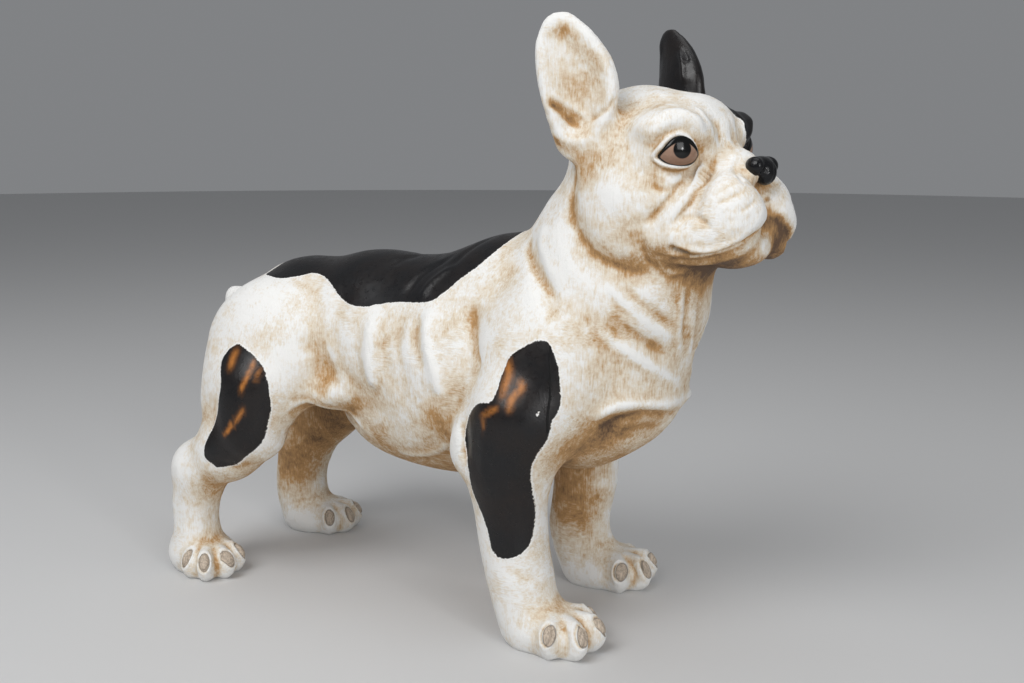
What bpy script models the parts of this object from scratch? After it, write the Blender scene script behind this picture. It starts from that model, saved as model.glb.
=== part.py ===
"""A French bulldog garden statue, cast in one piece, standing on its four paws with its head turned to its right.

Metres, +Z up. The dog looks along -Y, its right side is -X, and the origin is on the ground under its middle.
The forms below are written in millimetres of a statue 400 mm tall, and the statue is scaled from there.
"""

import math

import bmesh
import bpy
import numpy as np
from mathutils import Euler, Matrix, Vector

HEIGHT = 0.400  # ground to ear tips
SCULPT_HEIGHT = 400.0  # the height that the forms below are written for
MM = HEIGHT / SCULPT_HEIGHT

ROUGH, FINE = 4.4, 2.6  # cell sizes of the first and second skin, in millimetres
TRIANGLES = 9400  # in the finished solid
SOLE = 0.8  # points this close to the ground are brought onto it, in millimetres
SMALL = 0.3  # step for measuring how a form's distance changes, in millimetres

# Where the skull's middle sits, and how far the head is turned to the dog's right, in degrees
HEAD_AT = (0.0, -118.0, 310.0)
HEAD_YAW = 11.0

WHITEWASH = (0.80, 0.76, 0.69, 1.0)
MIRROR = Matrix.Diagonal((-1, 1, 1, 1))  # right side to left side


class Ball:
    """A clay ball squeezed to three half sizes, turned, and pressed on with a fillet of its own."""

    def __init__(self, at, half, turn=(0, 0, 0), blend=10.0, hollow=False):
        self.frame = Matrix.Translation(at) @ Euler([math.radians(a) for a in turn]).to_matrix().to_4x4()
        self.half = half
        self.blend = blend
        self.hollow = hollow

    def placed(self, frame):
        return self.framed(frame @ self.frame)

    def mirrored(self):
        return self.framed(MIRROR @ self.frame @ MIRROR)

    def framed(self, frame):
        copy = Ball((0, 0, 0), self.half, blend=self.blend, hollow=self.hollow)
        copy.frame = frame
        return copy

    def distance(self, points):
        inside = np.array(self.frame.inverted())
        local = points @ inside[:3, :3].T + inside[:3, 3]
        scaled = local / self.half
        reach = np.linalg.norm(scaled, axis=1)
        slope = np.linalg.norm(scaled / self.half, axis=1) + 1e-9
        return reach * (reach - 1) / slope

    def spheres(self):
        return [self.frame @ Matrix.Diagonal((*self.half, 1))]


class Limb:
    """A rope of clay through stations (x, y, z, radius), flattened along one direction where that is given."""

    def __init__(self, stations, flat=None, share=1.0, blend=10.0, hollow=False):
        self.stations = [tuple(map(float, s)) for s in stations]
        self.flat = Vector(flat).normalized() if flat else None
        self.share = share
        self.blend = blend
        self.hollow = hollow

    def placed(self, frame):
        moved = [(*(frame @ Vector(s[:3])), s[3]) for s in self.stations]
        flat = frame.to_3x3() @ self.flat if self.flat else None
        return Limb(moved, flat, self.share, self.blend, self.hollow)

    def mirrored(self):
        return self.placed(MIRROR)

    def distance(self, points):
        nearest = np.full(len(points), 1e9)
        for a, b in zip(self.stations, self.stations[1:]):
            start, run = np.array(a[:3]), np.array(b[:3]) - np.array(a[:3])
            away = points - start
            if self.flat:
                normal = np.array(self.flat)
                along = run - normal * (run @ normal)
                share = np.clip((away @ along) / max(along @ along, 1e-9), 0, 1)
                away = away - share[:, None] * run
                thick = away @ normal
                away = away + normal * (thick * (1 / self.share - 1))[:, None]
            else:
                share = np.clip((away @ run) / (run @ run), 0, 1)
                away = away - share[:, None] * run
            nearest = np.minimum(nearest, np.linalg.norm(away, axis=1) - (a[3] + share * (b[3] - a[3])))
        return nearest * (self.share if self.flat else 1.0)

    def spheres(self):
        found = []
        squeeze = Matrix.Scale(self.share, 4, self.flat) if self.flat else Matrix.Identity(4)
        for a, b in zip(self.stations, self.stations[1:]):
            a, b = Vector(a), Vector(b)
            steps = max(2, math.ceil((b.xyz - a.xyz).length / (0.35 * min(a.w, b.w))))
            for i in range(steps + 1):
                s = a.lerp(b, i / steps)
                found.append(Matrix.Translation(s.xyz) @ squeeze @ Matrix.Scale(s.w, 4))
        return found


class Stroke:
    """A tool drawn along a curve: a crease where the depth is positive, a raised fold where it is negative."""

    def __init__(self, path, width, depth):
        self.path = [Vector(p) for p in path]
        self.width = width
        self.depth = depth

    def placed(self, frame):
        return Stroke([frame @ p for p in self.path], self.width, self.depth)

    def mirrored(self):
        return self.placed(MIRROR)

    def press(self, points):
        """How far the surface moves in at each point; the tool presses lightly where its path begins and ends."""
        curve = np.array(rounded(self.path, 5))
        along = np.linspace(0, 1, len(curve))
        force = np.minimum(1, 5 * np.minimum(along, 1 - along) + 0.1)
        reach = 3 * self.width
        near = ((points > curve.min(0) - reach) & (points < curve.max(0) + reach)).all(axis=1)
        moved = np.zeros(len(points))
        if not near.any():
            return moved
        some = points[near]
        best = np.full(len(some), 1e9)
        strength = np.zeros(len(some))
        for a, b, fa, fb in zip(curve, curve[1:], force, force[1:]):
            run = b - a
            share = np.clip(((some - a) @ run) / (run @ run), 0, 1)
            gap = np.linalg.norm(some - a - share[:, None] * run, axis=1)
            closer = gap < best
            best = np.where(closer, gap, best)
            strength = np.where(closer, fa + share * (fb - fa), strength)
        moved[near] = self.depth * strength * np.exp(-((best / self.width) ** 2))
        return moved


def rounded(stations, steps=3):
    """More stations on the smooth curve that runs through the given ones."""
    p = [np.array(s, float) for s in stations]
    p = [2 * p[0] - p[1], *p, 2 * p[-1] - p[-2]]
    found = []
    for a, b, c, d in zip(p, p[1:], p[2:], p[3:]):
        for t in np.arange(steps) / steps:
            found.append((b * 2 + (c - a) * t + (2 * a - 5 * b + 4 * c - d) * t ** 2 + (3 * b - a - 3 * c + d) * t ** 3) / 2)
    return [tuple(f) for f in found] + [tuple(p[-2])]


def pair(*things):
    """The things as written for the right side, and their mirror images on the left."""
    return [copy for thing in things for copy in (thing, thing.mirrored())]


def smooth_union(a, b, fillet):
    near = np.maximum(fillet - np.abs(a - b), 0) / fillet
    return np.minimum(a, b) - near * near * fillet / 4


def surface_distance(points, forms, strokes):
    """How far each point is outside the clay, in millimetres, with every fillet and stroke in."""
    field = np.full(len(points), 1e3)
    for form in forms:
        gap = form.distance(points)
        if form.hollow:
            field = -smooth_union(-field, gap, form.blend)
        else:
            field = smooth_union(field, gap, form.blend)
    for stroke in strokes:
        field += stroke.press(points)
    return field


def trunk():
    return [
        # rib cage, shoulders, keel of the chest, withers, loin, croup and belly
        Ball((0, -4, 170), (64, 92, 78), (-4, 0, 0)),
        Ball((0, -84, 182), (62, 66, 78), (10, 0, 0), 16),
        Ball((0, -110, 170), (46, 48, 46), (-30, 0, 0), 12),
        Ball((0, -42, 208), (48, 60, 54), (10, 0, 0), 16),
        Ball((0, 70, 184), (54, 82, 61), (2, 0, 0), 16),
        Ball((0, 138, 186), (54, 58, 51), (-12, 0, 0), 12),
        Ball((0, 28, 134), (45, 76, 42), (-4, 0, 0), 14),
        Ball((0, 92, 122), (9, 16, 8), (-14, 0, 0), 12),
        # neck and throat
        Ball((0, -93, 240), (53, 48, 80), (24, 0, 0), 16),
        Ball((-1, -114, 234), (55, 57, 70), (-4, 0, 0), 14),
        Ball((-2, -124, 268), (51, 54, 46), (0, 0, 0), 12),
    ]


def fore_leg(y, out):
    """Right fore leg, its paw's middle at y, the toes turned out by some degrees."""
    foot = Matrix.Translation((-60, y, 0)) @ Matrix.Rotation(math.radians(-out), 4, "Z")
    return [
        Ball((-48, -74, 176), (30, 42, 60), (10, 6, 0), 16),
        Limb([(-57, -68, 150, 33), (-59, -60, 114, 29), (-59, -62, 78, 23.5), (-59, y + 25, 44, 22.5),
              (-59, y + 17, 14, 21)], blend=12),
        Ball((-62, -36, 130), (15, 16, 22), (20, 0, 0), 14),
        *[part.placed(foot) for part in paw(24, 31, 27, 58)],
    ]


def hind_leg(y, out, back, bone):
    """Right hind leg; its pastern stands back from the paw's middle and has a thickness of its own."""
    foot = Matrix.Translation((-60, y, 0)) @ Matrix.Rotation(math.radians(-out), 4, "Z")
    return [
        Ball((-42, 150, 170), (30, 52, 52), (-6, 8, 0), 14),
        Ball((-54, 174, 132), (21, 26, 42), blend=12),
        Ball((-36, 98, 148), (18, 30, 15), blend=8),
        Limb([(-54, 150, 146, 30), (-60, 153, 116, 26), (-60, 174, 98, 22)], blend=12),
        Limb([(-60, 173, 100, 22), (-60, y + back - 7, 80, bone + 2.5)], blend=10),
        Limb([(-60, y + back - 7, 80, bone + 2.5), (-60, y + back, 52, bone), (-60, y + back, 26, bone),
              (-61, y + 15, 14, bone)], blend=8),
        *[part.placed(foot) for part in paw(23, 30, 24.5, 50)],
    ]


def paw(wide, long, high, spread):
    """A paw pointing along -Y with its middle at the origin: the pad, then four toes fanned by an angle to each side."""
    parts = [Ball((0, 3, high * 0.42), (wide, long * 0.86, high * 0.64), (0, 0, 0), 8)]
    for fan, ahead in ((-spread, 0.44), (-spread / 3, 0.64), (spread / 3, 0.64), (spread, 0.50)):
        toe = Matrix.Rotation(math.radians(fan), 3, "Z") @ Vector((0, -ahead * long, high * 0.45))
        parts.append(Ball(tuple(toe), (wide * 0.37, long * 0.49, high * 0.52), (10, 0, fan), 4))
    return parts


def head_forms():
    """The head as if it looked straight ahead, its skull's middle at the origin."""
    return [
        Ball((0, -9, 4), (49, 47, 44), blend=14),
        Ball((0, -40, 16), (43, 30, 26), blend=10),
        # brows and eyes; the left eye stands out a little further
        Ball((-34, -46, 20), (18, 22, 13), (0, 0, 20), 8),
        Ball((-34.5, -44, 8), (15.5, 15.5, 14), blend=4),
        Ball((36, -49, 18), (18, 22, 13), (0, 0, -20), 8),
        Ball((37.5, -49, 6), (15.5, 15.5, 14), blend=4),
        *pair(
            Ball((-34, -16, -22), (23, 34, 38), (0, 0, 6), 14),
            Ball((-28, -46, -26), (19, 24, 22), blend=12),
        ),
        # muzzle, hanging lips, chin and lower jaw
        Ball((0, -66, -16), (28, 22, 26), blend=10),
        Ball((0, -76, 0), (12, 14, 9), blend=8),
        *pair(
            Ball((-19, -78, -29), (21, 23, 26), (0, 0, 12), 6),
            Ball((-29, -62, -42), (17, 29, 17), (0, 0, 16), 8),
        ),
        Ball((24, -86, -43), (12, 14, 14.5), blend=6),
        Ball((0, -75, -48), (22, 22, 14), blend=4),
        Ball((0, -30, -46), (34, 48, 18), blend=12),
        Ball((0, -89, -4), (13, 8, 9), blend=3),
    ]


def ears():
    """The two ears; the left one is set a little further forwards and comes to a narrower tip."""
    return ear(0, 0) + [part.mirrored() for part in ear(-4, 2)]


def ear(ahead, taper):
    """The right ear: a flattened leaf with its face scooped out, turned forwards and outwards."""
    facing = Vector((-0.91, -0.39, 0.12)).normalized()
    leaf = [
        (-50, 5 + ahead, 18, 18), (-56, 3 + ahead, 44, 24 - taper / 2),
        (-60, 8 + ahead, 62, 21 - taper), (-62, 13 + ahead / 2, 76, 14 - taper),
    ]
    scoops = [
        ((-51, 5 + ahead, 26), 10, 2, 6), ((-56, 3 + ahead, 43), 17.5 - taper / 2, -1, 5.5),
        ((-60, 8 + ahead, 60), 15.5 - taper, -0.5, 5), ((-62, 13 + ahead / 2, 73), 9.5 - taper, 0.5, 4),
    ]
    hollow = []
    for at, reach, floor, rim in scoops:
        radius = (reach ** 2 + (rim - floor) ** 2) / (2 * (rim - floor))
        hollow.append((*(Vector(at) + facing * (floor + radius)), radius))
    return [Limb(rounded(leaf), facing, 0.40, blend=7), Limb(rounded(hollow), blend=4, hollow=True)]


def tail():
    return [
        Limb([(0, 188, 196, 10), (0, 203, 201, 8), (-4, 212, 203, 7.5), (-8, 210, 197, 6.5)], blend=5),
    ]


def head_frame():
    return Matrix.Translation(HEAD_AT) @ Matrix.Rotation(math.radians(-HEAD_YAW), 4, "Z")


def forms():
    head = head_frame()
    legs = fore_leg(-93, 12) + [part.mirrored() for part in fore_leg(-82, 8)]
    legs += hind_leg(200, 36, 10, 17.6) + [part.mirrored() for part in hind_leg(183, 14, 18.5, 21)]
    return trunk() + legs + tail() + [part.placed(head) for part in head_forms() + ears()]


def face_strokes():
    """Creases of the right half of the face, as if the head looked straight ahead."""
    return [
        # round the muzzle from the nose to the corner of the mouth, then the fold behind it
        Stroke([(-12, -72, 9), (-24, -72, -5), (-37, -68, -20), (-43, -64, -30), (-47, -56, -38)], 4, 3.4),
        Stroke([(-27, -63, -5), (-44, -58, -20), (-48, -48, -29), (-49, -41, -35)], 4, 2.4),
        # under the hanging lip
        Stroke([(0, -94, -27), (-15, -99, -38), (-27, -93, -48), (-34, -78, -55), (-38, -62, -58), (-43, -52, -55)], 3.2, 4),
        # round the eye
        Stroke([(-52, -44, 1), (-49, -52, 16), (-38, -61, 19), (-28, -62, 8), (-38, -58, -4), (-52, -44, 1)], 2.6, 1.8),
        Stroke([(-53, -42, 24), (-46, -55, 29), (-38, -64, 26), (-29, -67, 18)], 3.5, 1.4),
        # forehead
        Stroke([(-16, -64, 29), (-13, -69, 21), (-9, -71, 13)], 3, 1.6),
        # cheek from the ear to the throat
        Stroke([(-47, 18, 2), (-50, 14, -13), (-54, 10, -28), (-57, 0, -44), (-54, -14, -58), (-45, -30, -65), (-28, -44, -67)], 7, 3.6),
    ]


def body_strokes():
    """Folds of the right half of the body."""
    return [
        # neck
        Stroke([(-32, -61, 264), (-53, -77, 243), (-63, -89, 225), (-65, -96, 214)], 6, 2.8),
        Stroke([(-50, -94, 276), (-55, -102, 259), (-56, -117, 244), (-47, -142, 230)], 6, 2.4),
        # chest, its ridge, and the hollow under it
        Stroke([(-57, -120, 232), (-46, -142, 220), (-26, -159, 205)], 5, 2),
        Stroke([(-58, -118, 214), (-43, -141, 202), (-22, -155, 188)], 5, 2),
        Stroke([(-6, -160, 157), (-22, -151, 157), (-42, -133, 160), (-55, -114, 153)], 5, -2.6),
        Stroke([(-8, -148, 140), (-28, -136, 142), (-44, -116, 138)], 9, 3),
        # ribs and the skin in front of the thigh
        Stroke([(-49, 51, 211), (-56, 51, 190), (-56, 51, 176), (-54, 46, 154)], 7, -2.4),
        Stroke([(-50, 26, 212), (-58, 25, 190), (-60, 20, 168), (-56, 16, 146)], 7, 1.8),
        Stroke([(-50, 3, 218), (-60, 0, 201), (-64, -2, 182), (-63, -9, 160)], 7, -2.4),
        Stroke([(-50, -27, 220), (-57, -31, 203), (-65, -34, 186), (-72, -40, 166)], 7, 3),
        Stroke([(-40, 78, 226), (-52, 82, 200), (-54, 84, 176), (-50, 80, 150)], 8, 2),
        # back of the elbow
        Stroke([(-74, -32, 150), (-81, -38, 136), (-80, -38, 120)], 5, 2.6),
    ]


def strokes():
    head = head_frame()
    face = pair(*face_strokes()) + [Stroke([(0, -98, -10), (0, -94, -18), (0, -94, -28)], 2.6, 2.2)]
    return [stroke.placed(head) for stroke in face] + pair(*body_strokes())


def seated(stroke, things):
    """The stroke with its path brought onto the bare clay."""
    path = onto_surface(np.array(stroke.path), things, [], 6)
    return Stroke(path, stroke.width, stroke.depth)


def rough_mesh(things):
    """One mesh that holds a sphere for each ball and station, skinned by a voxel remesh."""
    mesh = bpy.data.meshes.new("statue")
    bm = bmesh.new()
    for thing in things:
        if thing.hollow:
            continue
        for frame in thing.spheres():
            bmesh.ops.create_icosphere(bm, subdivisions=3, radius=1.0, matrix=Matrix.Scale(MM, 4) @ frame)
    bm.to_mesh(mesh)
    bm.free()
    obj = bpy.data.objects.new("bulldog_statue", mesh)
    bpy.context.scene.collection.objects.link(obj)
    return obj


def skin(obj, voxel):
    """One closed skin over everything in the mesh."""
    remesh = obj.modifiers.new("skin", "REMESH")
    remesh.mode = "VOXEL"
    remesh.voxel_size = voxel * MM
    apply_modifiers(obj)


def thin(obj):
    """Fewer, larger triangles where the surface is calm."""
    coarse = obj.modifiers.new("thin", "DECIMATE")
    coarse.ratio = TRIANGLES / (2 * len(obj.data.polygons))
    coarse.use_collapse_triangulate = True
    apply_modifiers(obj)


def apply_modifiers(obj):
    graph = bpy.context.evaluated_depsgraph_get()
    mesh = bpy.data.meshes.new_from_object(obj.evaluated_get(graph))
    obj.modifiers.clear()
    obj.data = mesh


def onto_surface(points, things, drawn, rounds):
    """The points after steps that bring each onto the smooth surface of the clay."""
    for _ in range(rounds):
        gap = surface_distance(points, things, drawn)
        slope = np.stack([surface_distance(points + SMALL * axis, things, drawn) - gap for axis in np.eye(3)], axis=1)
        slope /= SMALL
        points = points - slope * np.clip(gap / np.maximum((slope ** 2).sum(axis=1), 0.2), -4, 4)[:, None]
    return points


def settle(obj, things, drawn, rounds):
    """Moves every point of the skin onto the smooth surface of the clay."""
    points = np.empty(len(obj.data.vertices) * 3)
    obj.data.vertices.foreach_get("co", points)
    points = onto_surface(points.reshape(-1, 3) / MM, things, drawn, rounds)
    obj.data.vertices.foreach_set("co", (points * MM).ravel())
    obj.data.update()


def stand(obj):
    """Cuts the paws flat on the ground and sets the statue over the origin."""
    bm = bmesh.new()
    bm.from_mesh(obj.data)
    for vert in bm.verts:
        if abs(vert.co.z) < SOLE * MM:
            vert.co.z = 0
    cut = bmesh.ops.bisect_plane(bm, geom=bm.verts[:] + bm.edges[:] + bm.faces[:], dist=1e-6,
                                 plane_co=(0, 0, 0), plane_no=(0, 0, 1), clear_inner=True)
    rims = [e for e in cut["geom_cut"] if isinstance(e, bmesh.types.BMEdge)]
    bmesh.ops.triangulate(bm, faces=bmesh.ops.holes_fill(bm, edges=rims)["faces"])
    bmesh.ops.triangulate(bm, faces=bm.faces[:])
    low = Vector([min(v.co[i] for v in bm.verts) for i in range(3)])
    high = Vector([max(v.co[i] for v in bm.verts) for i in range(3)])
    middle = (low + high) / 2
    bmesh.ops.translate(bm, verts=bm.verts[:], vec=(-middle.x, -middle.y, -low.z))
    bm.to_mesh(obj.data)
    bm.free()
    obj.data.update()


def paint(obj):
    cream = bpy.data.materials.new("whitewash")
    cream.use_nodes = True
    shader = cream.node_tree.nodes["Principled BSDF"]
    shader.inputs["Base Color"].default_value = WHITEWASH
    shader.inputs["Roughness"].default_value = 0.62
    shader.inputs["Metallic"].default_value = 0.0
    obj.data.materials.clear()
    obj.data.materials.append(cream)
    obj.data.polygons.foreach_set("use_smooth", [True] * len(obj.data.polygons))


def main():
    for old in list(bpy.data.objects):
        bpy.data.objects.remove(old)
    things = forms()
    drawn = [seated(stroke, things) for stroke in strokes()]
    statue = rough_mesh(things)
    for voxel, rounds in ((ROUGH, 4), (FINE, 2)):
        skin(statue, voxel)
        settle(statue, things, drawn, rounds)
    thin(statue)
    stand(statue)
    paint(statue)
    return statue


if __name__ == "__main__":
    main()
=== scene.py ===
"""A French bulldog garden statue: its carved and painted skin, its eyes and nose, and a plain stage.

Points of the carving are written in millimetres, in the clay's own frame or in the head's frame.
Run as a script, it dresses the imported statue.
"""

import math

import bpy
import numpy as np
from bpy.props import FloatProperty, FloatVectorProperty, PointerProperty
from bpy.types import Operator, Panel, PropertyGroup
from mathutils import Matrix, Vector
from mathutils.bvhtree import BVHTree


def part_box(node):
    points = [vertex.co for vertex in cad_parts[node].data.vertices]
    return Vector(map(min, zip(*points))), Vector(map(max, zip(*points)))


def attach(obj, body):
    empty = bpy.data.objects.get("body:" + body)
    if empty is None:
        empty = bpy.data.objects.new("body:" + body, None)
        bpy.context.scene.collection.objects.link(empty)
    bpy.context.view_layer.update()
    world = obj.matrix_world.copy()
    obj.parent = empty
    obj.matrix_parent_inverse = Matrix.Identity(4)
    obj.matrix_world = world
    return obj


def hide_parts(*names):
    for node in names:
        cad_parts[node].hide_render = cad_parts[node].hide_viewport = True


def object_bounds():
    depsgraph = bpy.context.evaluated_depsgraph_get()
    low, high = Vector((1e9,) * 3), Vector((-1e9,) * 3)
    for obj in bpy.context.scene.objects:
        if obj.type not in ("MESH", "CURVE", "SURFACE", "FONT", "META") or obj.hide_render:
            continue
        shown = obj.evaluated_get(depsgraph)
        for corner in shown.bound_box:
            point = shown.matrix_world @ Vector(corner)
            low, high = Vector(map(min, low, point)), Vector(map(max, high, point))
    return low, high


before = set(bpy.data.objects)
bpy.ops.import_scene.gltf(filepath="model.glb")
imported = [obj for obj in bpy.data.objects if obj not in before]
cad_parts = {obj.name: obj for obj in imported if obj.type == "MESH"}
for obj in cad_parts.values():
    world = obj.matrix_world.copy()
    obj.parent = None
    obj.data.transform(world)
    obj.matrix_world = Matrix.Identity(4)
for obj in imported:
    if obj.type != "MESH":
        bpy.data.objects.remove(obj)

CAD_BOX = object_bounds()

bl_info = {
    "name": "Bulldog Garden Statue",
    "version": (1, 0, 0),
    "blender": (4, 5, 0),
    "location": "View3D > Sidebar > Bulldog Statue",
    "description": "Dresses the cast bulldog statue with its carving, its paint and a stage",
    "category": "Object",
}

STATUE = "bulldog_statue"

# The clay's frame is the row frame before the statue was centred; the head's frame looks straight ahead
MUZZLE_FRONT = -221.1  # where the clay's frame has the foremost point
CLAY_TO_ROW = Matrix.Translation((0, CAD_BOX[0].y * 1000 - MUZZLE_FRONT, 0))
HEAD_TO_CLAY = Matrix.Translation((0, -118, 310)) @ Matrix.Rotation(math.radians(-11), 4, "Z")
MIRROR = Matrix.Diagonal((-1, 1, 1, 1))
SKIN_TRIANGLES = 194_000  # the finished skin's


# ---------------------------------------------------------------- sizes and colours

def colour(name, description, value):
    return FloatVectorProperty(
        name=name, description=description, default=value, size=3, min=0, max=1, subtype="COLOR"
    )


def length(name, description, value):
    return FloatProperty(name=name, description=description, default=value, min=0, unit="LENGTH")


def power(name, description, value):
    return FloatProperty(name=name, description=description, default=value, min=0, unit="POWER")


class StatueSizes(PropertyGroup):
    skin_cell: length("Skin cell", "Cell size of the skin over the body", 0.0021)
    eyeball_radius: length("Eyeball radius", "Radius of the painted eyeball", 0.0158)
    pupil_radius: length("Pupil radius", "Radius of the painted pupil", 0.0056)


class StatuePaint(PropertyGroup):
    white: colour("Whitewash", "Dry-brushed white on all that stands proud", (0.83, 0.825, 0.805))
    cream: colour("Cream", "The thin wash between white and tan", (0.71, 0.62, 0.49))
    # tan and umber also serve as painted shade: tan on undersides, inside the legs and in hollows, umber in
    # the deepest creases
    tan: colour("Tan", "Base coat that shows in the hollows", (0.47, 0.27, 0.11))
    umber: colour("Umber", "Dark stain in the deepest creases", (0.12, 0.07, 0.04))
    black: colour("Black patch", "Glossy black of the patches, ear and nose", (0.006, 0.006, 0.007))
    rust: colour("Rust", "Orange where the black has rubbed through", (0.40, 0.15, 0.03))
    nail: colour("Nail", "Grey-brown of the nails", (0.36, 0.30, 0.24))
    iris: colour("Iris", "Brown of the eye under the pupil", (0.33, 0.17, 0.10))


class StageLook(PropertyGroup):
    floor: colour("Floor", "Plain pale floor and backdrop", (0.62, 0.62, 0.62))
    key: power("Key light", "Power of the large soft light", 20)
    fill: power("Fill light", "Power of the weak light by the camera", 12)


# ---------------------------------------------------------------- points, curves and meshes

def from_clay(points, mirrored=False):
    """Points of the clay's frame, in millimetres, as row-frame metres."""
    return carried(CLAY_TO_ROW @ MIRROR if mirrored else CLAY_TO_ROW, points)


def from_head(points, mirrored=False):
    frame_of_head = CLAY_TO_ROW @ HEAD_TO_CLAY
    return carried(frame_of_head @ MIRROR if mirrored else frame_of_head, points)


def carried(matrix, points):
    m = np.array(matrix)
    return (np.asarray(points, float).reshape(-1, 3) @ m[:3, :3].T + m[:3, 3]) / 1000


def rounded(stations, steps=5, closed=False):
    """The smooth curve through the stations, as more points."""
    p = [np.array(s, float) for s in stations]
    p = [p[-1], *p, p[0], p[1]] if closed else [2 * p[0] - p[1], *p, 2 * p[-1] - p[-2]]
    found = [
        (b * 2 + (c - a) * t + (2 * a - 5 * b + 4 * c - d) * t**2 + (3 * b - a - 3 * c + d) * t**3) / 2
        for a, b, c, d in zip(p, p[1:], p[2:], p[3:])
        for t in np.arange(steps) / steps
    ]
    return np.array(found if closed else [*found, p[-2]])


def along_curve(points, curve):
    """Each point's distance from the curve, and its share of the way along it."""
    best, share = np.full(len(points), 1e9), np.zeros(len(points))
    for i, (a, b) in enumerate(zip(curve, curve[1:])):
        run = b - a
        t = np.clip(((points - a) @ run) / max(run @ run, 1e-18), 0, 1)
        gap = np.linalg.norm(points - a - t[:, None] * run, axis=1)
        closer = gap < best
        best = np.where(closer, gap, best)
        share = np.where(closer, (i + t) / (len(curve) - 1), share)
    return best, share


def outline_distance(flat, outline):
    """Signed distance of flat points from a closed outline, below zero inside."""
    best, inside = np.full(len(flat), 1e9), np.zeros(len(flat), bool)
    for a, b in zip(outline, np.roll(outline, -1, axis=0)):
        run = b - a
        t = np.clip(((flat - a) @ run) / max(run @ run, 1e-18), 0, 1)
        best = np.minimum(best, np.linalg.norm(flat - a - t[:, None] * run, axis=1))
        crosses = (a[1] > flat[:, 1]) != (b[1] > flat[:, 1])
        inside ^= crosses & (flat[:, 0] < run[0] * (flat[:, 1] - a[1]) / (run[1] or 1e-18) + a[0])
    return np.where(inside, -best, best)


def mesh_points(obj):
    co = np.empty(len(obj.data.vertices) * 3)
    obj.data.vertices.foreach_get("co", co)
    return co.reshape(-1, 3)


def mesh_normals(obj):
    n = np.empty(len(obj.data.vertices) * 3, np.float32)
    obj.data.vertex_normals.foreach_get("vector", n)
    return n.reshape(-1, 3).astype(float)


def put_points(obj, points):
    obj.data.vertices.foreach_set("co", np.ascontiguousarray(points, float).ravel())
    obj.data.update()


def put_attribute(obj, name, values):
    layer = obj.data.attributes.get(name) or obj.data.attributes.new(name, "FLOAT", "POINT")
    layer.data.foreach_set("value", np.ascontiguousarray(values, np.float32))


def only(obj):
    """Selects this object alone."""
    bpy.ops.object.select_all(action="DESELECT")
    obj.select_set(True)
    bpy.context.view_layer.objects.active = obj


def edit(obj, *steps):
    only(obj)
    bpy.ops.object.mode_set(mode="EDIT")
    for step in steps:
        step()
    bpy.ops.object.mode_set(mode="OBJECT")


class Neighbours:
    """Averages over the edges of a mesh."""

    def __init__(self, obj):
        edges = np.empty(len(obj.data.edges) * 2, int)
        obj.data.edges.foreach_get("vertices", edges)
        self.a, self.b = edges.reshape(-1, 2).T
        self.size = len(obj.data.vertices)
        self.count = np.maximum(np.bincount(edges, minlength=self.size), 1)

    def mean(self, values):
        if values.ndim == 1:
            total = np.bincount(self.a, values[self.b], self.size)
            total += np.bincount(self.b, values[self.a], self.size)
            return total / self.count
        return np.stack([self.mean(v) for v in values.T], axis=1)

    def smooth(self, values, rounds, share=0.6):
        for _ in range(rounds):
            values = values + share * (self.mean(values) - values)
        return values


# ---------------------------------------------------------------- the skin's shape

def skin_copy():
    """A copy of the cast solid, with its loose triangles joined."""
    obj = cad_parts[STATUE].copy()
    obj.data = obj.data.copy()
    obj.name = obj.data.name = "painted_skin"
    bpy.context.scene.collection.objects.link(obj)
    obj.parent = None
    for key in list(obj.keys()):
        del obj[key]
    obj.hide_render = obj.hide_viewport = False
    edit(
        obj,
        lambda: bpy.ops.mesh.select_all(action="SELECT"),
        lambda: bpy.ops.mesh.remove_doubles(threshold=1e-6),
    )
    return obj


def triangles_of(obj):
    obj.data.calc_loop_triangles()
    tris = np.empty(len(obj.data.loop_triangles) * 3, np.int32)
    obj.data.loop_triangles.foreach_get("vertices", tris)
    return tris.reshape(-1, 3)


def refine(obj, spots, reach):
    """Splits the faces within reach of any of the spots into four."""
    centres = np.empty(len(obj.data.polygons) * 3)
    obj.data.polygons.foreach_get("center", centres)
    centres = centres.reshape(-1, 3)
    near = np.zeros(len(centres), bool)
    for spot in spots:
        near |= ((centres - spot) ** 2).sum(axis=1) < reach**2
    edit(obj, lambda: bpy.ops.mesh.select_all(action="DESELECT"))
    obj.data.polygons.foreach_set("select", near)
    edit(obj, lambda: bpy.ops.mesh.select_mode(type="FACE"), lambda: bpy.ops.mesh.subdivide(number_cuts=1))


def round_off(points, corners, tris, normals, share=0.75):
    """The points on the smooth surface that the solid's corners and their normals describe."""
    tree = BVHTree.FromPolygons(corners.tolist(), tris.tolist())
    found = [tree.find_nearest(p) for p in points.tolist()]
    spot = np.array([f[0] for f in found])
    corner = tris[np.array([f[2] for f in found])]
    a, b, c = (corners[corner[:, i]] for i in range(3))
    ab, ac, ap = b - a, c - a, spot - a
    d00, d01, d11 = (ab * ab).sum(1), (ab * ac).sum(1), (ac * ac).sum(1)
    d20, d21 = (ap * ab).sum(1), (ap * ac).sum(1)
    area = np.maximum(d00 * d11 - d01 * d01, 1e-20)
    v, w = (d11 * d20 - d01 * d21) / area, (d00 * d21 - d01 * d20) / area
    drop = np.zeros_like(spot)
    for weight, p, n in zip((1 - v - w, v, w), (a, b, c), (normals[corner[:, i]] for i in range(3))):
        drop += (weight * ((spot - p) * n).sum(1))[:, None] * n
    return spot - share * drop


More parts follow.
